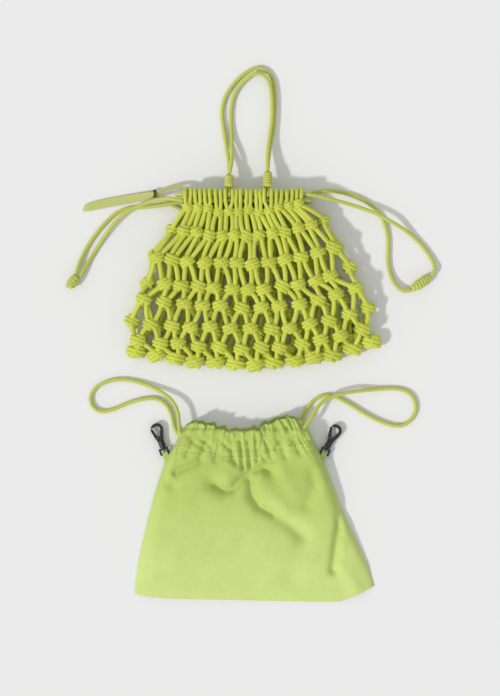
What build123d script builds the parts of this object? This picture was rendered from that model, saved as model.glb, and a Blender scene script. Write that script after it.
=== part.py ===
"""Knotted rope net bag with a drawn-up mouth and a cord handle, and the canvas drawstring
pouch that clips inside it.  Both lie flat, the pouch taken out and laid below the net.

Millimetres, +Z up, floor at z = 0, +Y from the pouch towards the handle.
"""

import math
import os

from build123d import *

os.makedirs("parts", exist_ok=True)

# ---- cords -----------------------------------------------------------------------------
NET_CORD = 5.2            # diameter of the knotted net cord
DRAWCORD = 4.4            # diameter of the drawcords, tails, loops and handle cords
CLEARANCE = 0.3           # gap left between soft pieces that lie on each other

# ---- knotted net -----------------------------------------------------------------------
KNOT_RADIUS = 5.75
KNOT_LENGTH = 13.5
BOTTOM_KNOT_RADIUS = 7.2
BOTTOM_KNOT_LENGTH = 19.0
BACK_KNOT_Z = 5.75        # height of the back layer's knots
KNOTS_PER_ODD_ROW = 12    # rows 1, 3, 5, 7; the rows between have one more
LEG_OFFSET = 2.9          # the two cords at a knot leave it side by side, this far off centre

# One entry per row: centre y, centre x, half width, rise at the left end, rise at the
# right end, height of the front layer.  Row 1 follows from the mouth above it.
NET_ROWS = [
    (172.0, 19.0, 86.0, 8.0, 17.0, 22.3),
    (140.0, 17.0, 102.0, 9.0, 20.0, 22.3),
    (111.0, 20.0, 114.0, 8.0, 24.0, 22.3),
    (90.5, 23.0, 121.0, 8.0, 21.0, 21.5),
    (66.5, 23.0, 135.0, 8.0, 23.0, 20.5),
    (44.5, 23.0, 127.0, 10.0, 22.0, 18.5),
]
BOTTOM_ROW = (26.5, 27.0, 135.0, 14.0, 23.0, 9.0)
FIRST_ROW_CENTRE_X = 15.0
FIRST_ROW_HALF_WIDTH = 63.0
FRONT_KNOT_Z = 22.3

# ---- net mouth -------------------------------------------------------------------------
MOUTH_LEFT = -53.0        # where the drawcords come out of the gathered mouth
MOUTH_RIGHT = 84.5
LOWER_DRAWCORD_Y = 212.0
UPPER_DRAWCORD_Y = 219.5
LOOP_THICKNESS = 3.0      # net cord pressed flat where it turns over the drawcords
LOOP_WIDTH = 4.4
LOOP_SPACING = 5.2        # between the two loops over one knot

# ---- handle ----------------------------------------------------------------------------
HANDLE_FOOT_X = (-1.5, 42.5)
WRAP_RADIUS = 5.6
WRAP_LENGTH = (15.0, 19.0)
WRAP_START = 8.0          # from the drawcord's centre to the wrap's near end
HANDLE_SLOPE = 16.0       # degrees that the feet fall away from the mouth
FOOT_STRAND = 2.2
FOOT_WIDTH = 3.6

# ---- stopper knots, strap tag ----------------------------------------------------------
STOPPER_RADIUS = 6.2
LEFT_STOPPER_LENGTH = 17.0
RIGHT_STOPPER_LENGTH = 26.0
TAG_WIDTH = 10.0
TAG_THICKNESS = 1.4
TAG_LENGTH = 82.0         # from the square end to the thread tie
TAG_TIE_WIDTH = 2.0
TAG_TIE_THICKNESS = 0.8

# ---- pouch -----------------------------------------------------------------------------
CLOTH = 1.6               # two folded thicknesses of canvas
POUCH_TOP_Y = -71.0       # lower edge of the gathered hem
HEM_HEIGHT = 31.0
HEM_WALL = 1.1
MOUTH_GAP = 6.0           # between the two hems
HEM_LEFT = -44.0
HEM_RIGHT = 71.0
POUCH_BOTTOM_Y = -246.0
POUCH_OUTLINE = [
    (-62.0, POUCH_TOP_Y), (-76.0, -90.0), (-97.0, -160.0), (-110.0, -236.0),
    (-90.0, -242.5), (20.0, POUCH_BOTTOM_Y), (124.0, POUCH_BOTTOM_Y), (164.0, -232.0),
    (145.0, -178.0), (103.0, -79.0), (98.0, POUCH_TOP_Y),
]
POUCH_CORD_SPACING = 5.0  # between the two cords in the hem

# ---- snap hooks ------------------------------------------------------------------------
HOOK_HEIGHT = 4.2         # of the hook's axis above the floor
EYE_BAR_RADIUS = 1.1
EYE_WINDOW_LENGTH = 3.6
EYE_WINDOW_HALF_WIDTH = 3.4
POST_RADIUS = 1.5
POST_CLEARANCE = 0.06
POST_LENGTH = 5.1
HEAD_RADIUS = 2.3
HEAD_LENGTH = 1.8
BARREL_RADIUS = 3.6
BARREL_LENGTH = 8.6
RING_RADIUS = 7.3
RING_HOLE_RADIUS = 3.9
RING_THICKNESS = 3.6
RING_CENTRE = 29.3        # from the eye's bar along the hook
GATE_THICKNESS = 1.8
GATE_PIN_RADIUS = 0.7
GATE_PIN_PLACE = (19.4, 3.2)
GATE_TIP_PLACE = (30.2, 5.8)
GATE_SWING = 20.0         # degrees inwards
TAB_WIDTH = 6.0
TAB_CLOTH = 1.0

LEFT_HOOK_BAR = (-75.0, -77.0)
LEFT_HOOK_ANGLE = 109.0
RIGHT_HOOK_BAR = (107.5, -77.0)
RIGHT_HOOK_ANGLE = 64.0


def finish(part, label):
    """Label one finished piece and write it to its own file."""
    part.label = label
    export_step(part, f"parts/{label}.step")


# ---- routes of the free cords ----------------------------------------------------------
# Each route is a list of points on the cord's centre line, chosen by hand.
FLOOR = DRAWCORD / 2 + 0.1
HEM_THICKNESS = DRAWCORD + 2 * (HEM_WALL + CLEARANCE)
HEM_BACK_Z = CLOTH + HEM_THICKNESS / 2
HEM_FRONT_Z = HEM_BACK_Z + HEM_THICKNESS + MOUTH_GAP
HEM_MIDDLE_Y = POUCH_TOP_Y + HEM_HEIGHT / 2
POUCH_LEFT_CORD_Y = HEM_MIDDLE_Y - POUCH_CORD_SPACING / 2
POUCH_RIGHT_CORD_Y = HEM_MIDDLE_Y + POUCH_CORD_SPACING / 2

NET_TAIL_LEFT_UPPER = [
    (MOUTH_LEFT, LOWER_DRAWCORD_Y, FRONT_KNOT_Z), (-64, 214.5, 21.5), (-77, 215, 18),
    (-91, 212, 14), (-106, 206.5, 12), (-121, 199, 12), (-133, 188.5, 9), (-143.5, 174, 4.5),
    (-154, 158, FLOOR), (-162.5, 144, 2.6), (-169, 132.5, 5), (-172.8, 125.8, 6.2),
]
NET_TAIL_LEFT_LOWER = [
    (MOUTH_LEFT, LOWER_DRAWCORD_Y, BACK_KNOT_Z), (-64, 210.5, 5.2), (-77, 208.5, 4),
    (-92, 206.5, FLOOR), (-107, 205.8, FLOOR), (-120, 204.5, FLOOR), (-133, 198.5, FLOOR),
    (-146, 186, FLOOR), (-157.5, 172, FLOOR), (-167, 156.5, 2.6), (-174, 141, 4.5),
    (-177.3, 129.2, 6.2),
]
LEFT_STOPPER_START = (-175.5, 127.2, STOPPER_RADIUS)
LEFT_STOPPER_ANGLE = 234.0

NET_TAIL_RIGHT_LOWER = [
    (MOUTH_RIGHT, UPPER_DRAWCORD_Y, BACK_KNOT_Z), (99, 223.5, 5.2), (114.5, 225, 4),
    (131.5, 222.5, FLOOR), (147, 217.5, FLOOR), (158.5, 211, FLOOR), (167.5, 203, FLOOR),
    (174.5, 193.5, FLOOR), (179, 182.5, FLOOR), (181.2, 170.5, FLOOR), (181.2, 157.5, FLOOR),
    (180.8, 145.5, FLOOR), (182.4, 133.5, FLOOR), (185.8, 123.5, 3), (190, 115.8, 4.6),
    (196, 110.2, 5.8), (202, 109, 6.2), (207.2, 111.1, 6.2),
]
NET_TAIL_RIGHT_UPPER = [
    (MOUTH_RIGHT, UPPER_DRAWCORD_Y, FRONT_KNOT_Z), (99, 218, 21.5), (114, 214, 18),
    (128, 211, 14), (142, 207, 11.8), (157, 202, 11.8), (171, 196, 11.8), (185, 188.5, 11),
    (199, 180.5, 6), (211, 171.5, 2.6), (221.5, 160.5, FLOOR), (229.8, 149, 2.6),
    (234, 139, 4), (234.5, 131.5, 6.2), (229.5, 126.8, 6.2),
]
RIGHT_STOPPER_START = (207.6, 111.4, STOPPER_RADIUS)
RIGHT_STOPPER_ANGLE = 34.6

POUCH_LOOP_LEFT = [
    (HEM_LEFT, POUCH_LEFT_CORD_Y, HEM_FRONT_Z), (-52.5, -58.2, 18.2), (-58.2, -52, 17.6),
    (-58.8, -42, 16.4), (-59.4, -30, 14.4), (-65, -17.5, 11), (-76, -8, 7), (-89, -1, 4),
    (-104, 5, FLOOR), (-120, 8.2, FLOOR), (-134, 8, FLOOR), (-147, 4, FLOOR),
    (-156.5, -2.5, FLOOR), (-162, -13, FLOOR), (-158.5, -24.3, FLOOR), (-148, -29.6, FLOOR),
    (-135.5, -27, FLOOR), (-121.5, -20.5, FLOOR), (-107, -15.5, FLOOR), (-92, -12.8, FLOOR),
    (-79.5, -15.5, FLOOR), (-70.5, -24.5, 2.6), (-66.5, -36.5, 3.2), (-64.5, -48, 4),
    (-58.5, -56, 4.8), (-51.5, -58.4, 5.1), (HEM_LEFT, POUCH_LEFT_CORD_Y, HEM_BACK_Z),
]
POUCH_LOOP_RIGHT = [
    (HEM_RIGHT, POUCH_RIGHT_CORD_Y, HEM_BACK_Z), (77.2, -52.4, 5), (81.4, -46.5, 4.4), (83, -36.5, 3.4),
    (87.5, -25, 2.6), (96, -14.8, FLOOR), (108, -9.4, FLOOR), (120, -11, FLOOR),
    (130.5, -16.5, FLOOR), (142, -23.5, FLOOR), (156, -32, FLOOR), (170, -39.5, FLOOR),
    (184, -44.5, FLOOR), (197, -45.5, FLOOR), (207, -39.5, FLOOR), (213.5, -28, FLOOR),
    (212, -15.5, FLOOR), (205, -6.5, FLOOR), (194, -2.5, FLOOR), (181, -2, FLOOR),
    (165, -3.2, 3.5), (149, -4.6, 8), (133, -6.8, 11.2), (118.5, -10.2, 11.6), (106.5, -16, 13),
    (98, -25, 15), (92, -35.5, 16.6), (85.5, -45.5, 17.6), (78.2, -51.8, 18.2),
    (HEM_RIGHT, POUCH_RIGHT_CORD_Y, HEM_FRONT_Z),
]


def along_wrap(distance, lift=0.0):
    """Point on a handle wrap's axis, this far from the drawcord, as (y, z)."""
    slope = math.radians(HANDLE_SLOPE)
    return (
        UPPER_DRAWCORD_Y + distance * math.cos(slope) + lift * math.sin(slope),
        FRONT_KNOT_Z - distance * math.sin(slope) + lift * math.cos(slope),
    )


CORD_STACK = DRAWCORD / 2 + 0.15   # the two handle cords lie one over the other in a wrap
LEFT_END = WRAP_START + WRAP_LENGTH[0]
RIGHT_END = WRAP_START + WRAP_LENGTH[1]

HANDLE_CORD_OUTER = [
    (HANDLE_FOOT_X[0], *along_wrap(LEFT_END, -CORD_STACK)), (-1.2, 254, 10),
    (-3.5, 268, 6.5), (-5.8, 283, 3.2), (-8.6, 299, FLOOR), (-10.4, 315.5, FLOOR),
    (-7, 331.5, FLOOR), (1.5, 345.5, FLOOR), (12.5, 357, FLOOR), (24.5, 365, FLOOR),
    (36, 366.8, FLOOR), (45.6, 360, FLOOR), (50, 348, FLOOR), (51, 332, FLOOR),
    (50.6, 315, FLOOR), (49.6, 299, FLOOR), (47, 284, 3.2), (44.8, 270, 6),
    (43, 257.5, 9), (HANDLE_FOOT_X[1], *along_wrap(RIGHT_END, -CORD_STACK)),
]
HANDLE_CORD_INNER = [
    (HANDLE_FOOT_X[0], *along_wrap(LEFT_END + 0.5, CORD_STACK)), (1.2, 254, 14.5),
    (2, 268, 9.5), (1.4, 283, 4.5), (0.4, 299, FLOOR), (0.2, 315, FLOOR),
    (2.6, 331, FLOOR), (8.5, 343.5, 3.5), (17.8, 353, 5.6), (27.5, 359, 7.2),
    (38, 357.8, 7.3), (45, 348.6, 7.3), (47.2, 336, 7.3), (47.9, 322, 7.3),
    (47.7, 308, 7.3), (46.5, 296, 7.5), (44.6, 284.5, 8.4), (42.9, 270, 11),
    (42.3, 257.5, 14), (HANDLE_FOOT_X[1], *along_wrap(RIGHT_END, CORD_STACK)),
]


def corner_radii(points):
    """Largest arc that each corner's two runs allow."""
    radii = []
    for before, here, after in zip(points, points[1:], points[2:]):
        run_in = Vector(*here) - Vector(*before)
        run_out = Vector(*after) - Vector(*here)
        half_turn = math.radians(run_in.get_angle(run_out)) / 2
        radii.append(0.45 * min(run_in.length, run_out.length) / math.tan(half_turn))
    return radii


def free_cord(label, points, diameter=DRAWCORD):
    """Tube of straight runs and tangent arcs along a route."""
    radii = corner_radii(points)
    with BuildPart() as tube:
        with BuildLine() as route:
            FilletPolyline(*points, radius=radii)
        with BuildSketch(Plane(origin=route.wire() @ 0, z_dir=route.wire() % 0)):
            Circle(diameter / 2)
        sweep(path=route.wire())
    length = route.wire().length
    expected = length * math.pi * diameter ** 2 / 4
    print(f"{label}: length {length:.0f}, volume {tube.part.volume / expected:.4f} of section x length, "
          f"radii {[round(r) for r in radii]}")
    finish(tube.part, label)


def mouth_drawcord(label, exit_x, turn_x, y, front_z, back_z):
    """Drawcord held in a mouth: along the front, round the far side and back along the back."""
    bend = (front_z - back_z) / 2
    outwards = math.copysign(bend, turn_x - exit_x)
    with BuildPart() as cord:
        with BuildLine() as route:
            Line((exit_x, y, front_z), (turn_x, y, front_z))
            ThreePointArc((turn_x, y, front_z), (turn_x + outwards, y, front_z - bend), (turn_x, y, back_z))
            Line((turn_x, y, back_z), (exit_x, y, back_z))
        with BuildSketch(Plane(origin=route.wire() @ 0, z_dir=route.wire() % 0)):
            Circle(DRAWCORD / 2)
        sweep(path=route.wire())
    finish(cord.part, label)


# ---- knotted net -----------------------------------------------------------------------
LOOP_BOTTOM = LOWER_DRAWCORD_Y - DRAWCORD / 2 - CLEARANCE - LOOP_THICKNESS
FIRST_ROW = (LOOP_BOTTOM - CLEARANCE - KNOT_RADIUS, FIRST_ROW_CENTRE_X, FIRST_ROW_HALF_WIDTH, 0, 0, FRONT_KNOT_Z)
ALL_ROWS = [FIRST_ROW, *NET_ROWS, BOTTOM_ROW]
LAST = len(ALL_ROWS) - 1


def row_knots(index, side):
    """Centres of one row's knots, from left to right, on the front or the back layer."""
    y, centre_x, half_width, left_rise, right_rise, front_z = ALL_ROWS[index]
    count = KNOTS_PER_ODD_ROW + index % 2
    layer_z = front_z if side == "front" or index == LAST else BACK_KNOT_Z
    centres = []
    for i in range(count):
        across = 2 * i / (count - 1) - 1
        rise = (left_rise if across < 0 else right_rise) * across ** 2
        at_fold = index % 2 and index != LAST and i in (0, count - 1)
        z = (front_z + BACK_KNOT_Z) / 2 if at_fold else layer_z
        centres.append(Vector(centre_x + across * half_width, y + rise, z))
    return centres


def knot_radius(index):
    """Radius of one row's knots."""
    return BOTTOM_KNOT_RADIUS if index == LAST else KNOT_RADIUS


def knot_length(index):
    """Length across of one row's knots, less where they crowd together."""
    spacing = 2 * ALL_ROWS[index][2] / (KNOTS_PER_ODD_ROW + index % 2 - 1)
    wanted = BOTTOM_KNOT_LENGTH if index == LAST else KNOT_LENGTH
    return min(wanted, spacing - 2 * CLEARANCE)


def net_row(index, side):
    """One row of knots with the two cords that leave each knot for the row below."""
    knots = row_knots(index, side)
    below = row_knots(index + 1, side)
    toward_layer = LEG_OFFSET if side == "front" else -LEG_OFFSET
    units = []
    for i, knot in enumerate(knots):
        at_fold = index % 2 and i in (0, len(knots) - 1)
        if at_fold and side == "back":
            continue                      # the fold's knots belong to the front row
        left_child = i - 1 if index % 2 else i
        legs = []
        for child, offset in ((left_child, -LEG_OFFSET), (left_child + 1, LEG_OFFSET)):
            if 0 <= child < len(below):
                target_at_fold = (index + 1) % 2 and index + 1 != LAST and child in (0, len(below) - 1)
                start = knot + (Vector(0, 0, LEG_OFFSET) if at_fold else Vector(offset, 0, 0))
                end = below[child] + (Vector(0, 0, toward_layer) if target_at_fold else Vector(-offset, 0, 0))
                if index + 1 == LAST:
                    end += Vector(0, 0, toward_layer * 1.05)
                legs.append((start, end, below[child]))
        if at_fold:                       # its second cord goes to the back layer
            back = row_knots(index + 1, "back")[0 if i == 0 else -1]
            inward = -LEG_OFFSET if i == 0 else LEG_OFFSET
            legs.append((knot - Vector(0, 0, LEG_OFFSET), back + Vector(inward, 0, 0), back))
        with BuildPart(mode=Mode.PRIVATE) as unit:
            for start, end, target in legs:
                with BuildSketch(Plane(origin=start, z_dir=end - start)):
                    Circle(NET_CORD / 2)
                extrude(amount=(end - start).length)
            for start, end, target in legs:
                room = 2 * (knot_radius(index + 1) + CLEARANCE)
                with Locations(target):
                    Box(2 * room, room, 2 * room, mode=Mode.SUBTRACT)
            with Locations(knot):
                Cylinder(KNOT_RADIUS, knot_length(index), rotation=(0, 90, 0))
        units.append(unit.part)
    with BuildPart() as row:
        add(units)
    finish(row.part, f"net_row_{index + 1}_{side}")


for row_index in range(LAST):
    for layer in ("front", "back"):
        net_row(row_index, layer)

with BuildPart() as bottom_knots:
    with Locations(*row_knots(LAST, "front")):
        Cylinder(BOTTOM_KNOT_RADIUS, knot_length(LAST), rotation=(0, 90, 0))
finish(bottom_knots.part, "net_bottom_knots")


def top_loops(side):
    """Flattened turns of net cord over both drawcords, two over each knot of row 1."""
    z = FRONT_KNOT_Z if side == "front" else BACK_KNOT_Z
    middle_y = (LOWER_DRAWCORD_Y + UPPER_DRAWCORD_Y) / 2
    hole = DRAWCORD / 2 + CLEARANCE
    spread = UPPER_DRAWCORD_Y - LOWER_DRAWCORD_Y
    foot_room = (FOOT_WIDTH + LOOP_WIDTH) / 2 + CLEARANCE
    places = []
    for knot in row_knots(0, side):
        for x in (knot.X - LOOP_SPACING / 2, knot.X + LOOP_SPACING / 2):
            if side == "back" or all(abs(x - foot) > foot_room for foot in HANDLE_FOOT_X):
                places.append(x)
    with BuildPart() as loops:
        for x in places:
            with BuildSketch(Plane(origin=(x, middle_y, z), x_dir=(0, 1, 0), z_dir=(1, 0, 0))):
                SlotCenterToCenter(spread, 2 * (hole + LOOP_THICKNESS))
                SlotCenterToCenter(spread, 2 * hole, mode=Mode.SUBTRACT)
            extrude(amount=LOOP_WIDTH / 2, both=True)
    finish(loops.part, f"net_top_loops_{side}")


top_loops("front")
top_loops("back")
mouth_drawcord("net_drawcord_left", MOUTH_LEFT, MOUTH_RIGHT, LOWER_DRAWCORD_Y, FRONT_KNOT_Z, BACK_KNOT_Z)
mouth_drawcord("net_drawcord_right", MOUTH_RIGHT, MOUTH_LEFT, UPPER_DRAWCORD_Y, FRONT_KNOT_Z, BACK_KNOT_Z)
free_cord("net_tail_left_upper", NET_TAIL_LEFT_UPPER)
free_cord("net_tail_left_lower", NET_TAIL_LEFT_LOWER)
free_cord("net_tail_right_upper", NET_TAIL_RIGHT_UPPER)
free_cord("net_tail_right_lower", NET_TAIL_RIGHT_LOWER)


def stopper(label, start, angle, length):
    """Wrapped stopper knot lying on the floor."""
    direction = (math.cos(math.radians(angle)), math.sin(math.radians(angle)), 0)
    with BuildPart() as knot:
        with BuildSketch(Plane(origin=start, z_dir=direction)):
            Circle(STOPPER_RADIUS)
        extrude(amount=length)
        chamfer(knot.edges().filter_by(GeomType.CIRCLE), STOPPER_RADIUS / 4)
    finish(knot.part, label)


stopper("net_stopper_left", LEFT_STOPPER_START, LEFT_STOPPER_ANGLE, LEFT_STOPPER_LENGTH)
stopper("net_stopper_right", RIGHT_STOPPER_START, RIGHT_STOPPER_ANGLE, RIGHT_STOPPER_LENGTH)

# ---- strap tag: a flat strap tied to the net's corner, its blade lying on the floor ------
TAG_END = (-170.5, 205.0)
TAG_ANGLE = 11.0
TAG_LEG_RISE = 7.0
TAG_LEG_REACH = 29.0
tag_plane = Plane(origin=(*TAG_END, 0.2), x_dir=(math.cos(math.radians(TAG_ANGLE)), math.sin(math.radians(TAG_ANGLE)), 0),
                  z_dir=(math.sin(math.radians(TAG_ANGLE)), -math.cos(math.radians(TAG_ANGLE)), 0))
with BuildPart() as strap_tag:
    with BuildSketch(tag_plane):
        with BuildLine():
            tag_top = Polyline((0, TAG_THICKNESS), (TAG_LENGTH, TAG_THICKNESS),
                               (TAG_LENGTH + TAG_LEG_REACH, TAG_THICKNESS + TAG_LEG_RISE))
            Polyline(tag_top @ 1, (TAG_LENGTH + TAG_LEG_REACH, TAG_LEG_RISE), (TAG_LENGTH, 0), (0, 0), tag_top @ 0)
        make_face()
    extrude(amount=TAG_WIDTH / 2, both=True)
finish(strap_tag.part, "strap_tag")

with BuildPart() as tag_thread:
    thread_top = tag_plane.from_local_coords((TAG_LENGTH - 3 * TAG_TIE_WIDTH, TAG_THICKNESS + 0.05, 0))
    with BuildSketch(Plane(origin=thread_top, x_dir=tag_plane.x_dir, z_dir=(0, 0, 1))):
        Rectangle(TAG_TIE_WIDTH, TAG_WIDTH + 2 * TAG_TIE_THICKNESS)
    extrude(amount=TAG_TIE_THICKNESS)
finish(tag_thread.part, "tag_thread")

# ---- handle ----------------------------------------------------------------------------
for name, foot_x, wrap_length in zip(("left", "right"), HANDLE_FOOT_X, WRAP_LENGTH):
    wrap_start = (foot_x, *along_wrap(WRAP_START))
    wrap_direction = Vector(0, math.cos(math.radians(HANDLE_SLOPE)), -math.sin(math.radians(HANDLE_SLOPE)))
    with BuildPart() as wrap:
        with BuildSketch(Plane(origin=wrap_start, z_dir=wrap_direction)):
            Circle(WRAP_RADIUS)
        extrude(amount=wrap_length)
        chamfer(wrap.edges().filter_by(GeomType.CIRCLE), WRAP_RADIUS / 8)
    finish(wrap.part, f"handle_wrap_{name}")

    foot_hole = DRAWCORD / 2 + CLEARANCE
    with BuildPart() as foot:
        with BuildSketch(Plane(origin=(foot_x, UPPER_DRAWCORD_Y, FRONT_KNOT_Z),
                               x_dir=wrap_direction, z_dir=(1, 0, 0))):
            Circle(foot_hole + FOOT_STRAND)
            with Locations((WRAP_START / 2, 0)):
                Rectangle(WRAP_START, 1.5 * foot_hole)
            Circle(foot_hole, mode=Mode.SUBTRACT)
        extrude(amount=FOOT_WIDTH / 2, both=True)
    finish(foot.part, f"handle_foot_{name}")

free_cord("handle_cord_outer", HANDLE_CORD_OUTER)
free_cord("handle_cord_inner", HANDLE_CORD_INNER)

# ---- canvas pouch ----------------------------------------------------------------------
HEM_TOP_Z = HEM_FRONT_Z + HEM_THICKNESS / 2
FRONT_RIM_HEIGHT = 3.2    # of the front panel at the bottom seam
FRONT_SHOULDER = (-165.0, 0.62)  # y where the front panel has risen to this share of its height


def outline(inset=0.0):
    """Plan of the pouch below the hem."""
    with BuildSketch() as plan:
        with BuildLine():
            Polyline(*POUCH_OUTLINE, close=True)
        make_face()
        if inset:
            offset(amount=-inset)
    return plan.sketch


def side_view(lowered=0.0, end_room=0.0):
    """Side view of the space under the front panel."""
    shoulder_y, share = FRONT_SHOULDER
    top = HEM_TOP_Z - lowered
    with BuildSketch(Plane.YZ) as side:
        with BuildLine():
            Polyline(
                (POUCH_BOTTOM_Y - 1, CLOTH), (POUCH_BOTTOM_Y - 1, CLOTH + FRONT_RIM_HEIGHT - lowered),
                (shoulder_y, CLOTH + share * (top - CLOTH)), (POUCH_TOP_Y + end_room, top),
                (POUCH_TOP_Y + end_room, CLOTH), close=True)
        make_face()
    return side.sketch


with BuildPart() as pouch_back_panel:
    with BuildSketch():
        add(outline())
        with Locations(((HEM_LEFT + HEM_RIGHT) / 2, HEM_MIDDLE_Y)):
            Rectangle(HEM_RIGHT - HEM_LEFT, HEM_HEIGHT)
    extrude(amount=CLOTH)
finish(pouch_back_panel.part, "pouch_back_panel")

with BuildPart(mode=Mode.PRIVATE) as pouch_inside:
    with BuildSketch(Plane.XY.offset(CLOTH)):
        add(outline(inset=CLOTH))
        with Locations(((HEM_LEFT + HEM_RIGHT) / 2, POUCH_TOP_Y)):
            Rectangle(HEM_RIGHT - HEM_LEFT - 2 * CLOTH, 4 * CLOTH)
    extrude(amount=HEM_TOP_Z)
    extrude(side_view(lowered=CLOTH, end_room=1), amount=300, both=True, mode=Mode.INTERSECT)

with BuildPart() as pouch_front_panel:
    with BuildSketch(Plane.XY.offset(CLOTH)):
        add(outline())
    extrude(amount=HEM_TOP_Z)
    extrude(side_view(), amount=300, both=True, mode=Mode.INTERSECT)
    add(pouch_inside.part, mode=Mode.SUBTRACT)
finish(pouch_front_panel.part, "pouch_front_panel")

for name, hem_z in (("front", HEM_FRONT_Z), ("back", HEM_BACK_Z)):
    slot_width = DRAWCORD + POUCH_CORD_SPACING + 2 * CLEARANCE
    with BuildPart() as hem:
        with BuildSketch(Plane(origin=(HEM_LEFT, HEM_MIDDLE_Y, hem_z), x_dir=(0, 1, 0), z_dir=(1, 0, 0))):
            Rectangle(HEM_HEIGHT, HEM_THICKNESS)
            Rectangle(slot_width, DRAWCORD + 2 * CLEARANCE, mode=Mode.SUBTRACT)
        extrude(amount=HEM_RIGHT - HEM_LEFT)
    finish(hem.part, f"pouch_hem_{name}")

mouth_drawcord("pouch_drawcord_left", HEM_LEFT, HEM_RIGHT, POUCH_LEFT_CORD_Y, HEM_FRONT_Z, HEM_BACK_Z)
mouth_drawcord("pouch_drawcord_right", HEM_RIGHT, HEM_LEFT, POUCH_RIGHT_CORD_Y, HEM_FRONT_Z, HEM_BACK_Z)
free_cord("pouch_loop_left", POUCH_LOOP_LEFT)
free_cord("pouch_loop_right", POUCH_LOOP_RIGHT)

# ---- snap hooks ------------------------------------------------------------------------
EYE_FRONT = EYE_BAR_RADIUS + EYE_WINDOW_LENGTH + 2 * EYE_BAR_RADIUS
BARREL_START = EYE_FRONT + 0.4
WALL_END = EYE_FRONT + POST_LENGTH
BARREL_END = BARREL_START + BARREL_LENGTH


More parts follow.
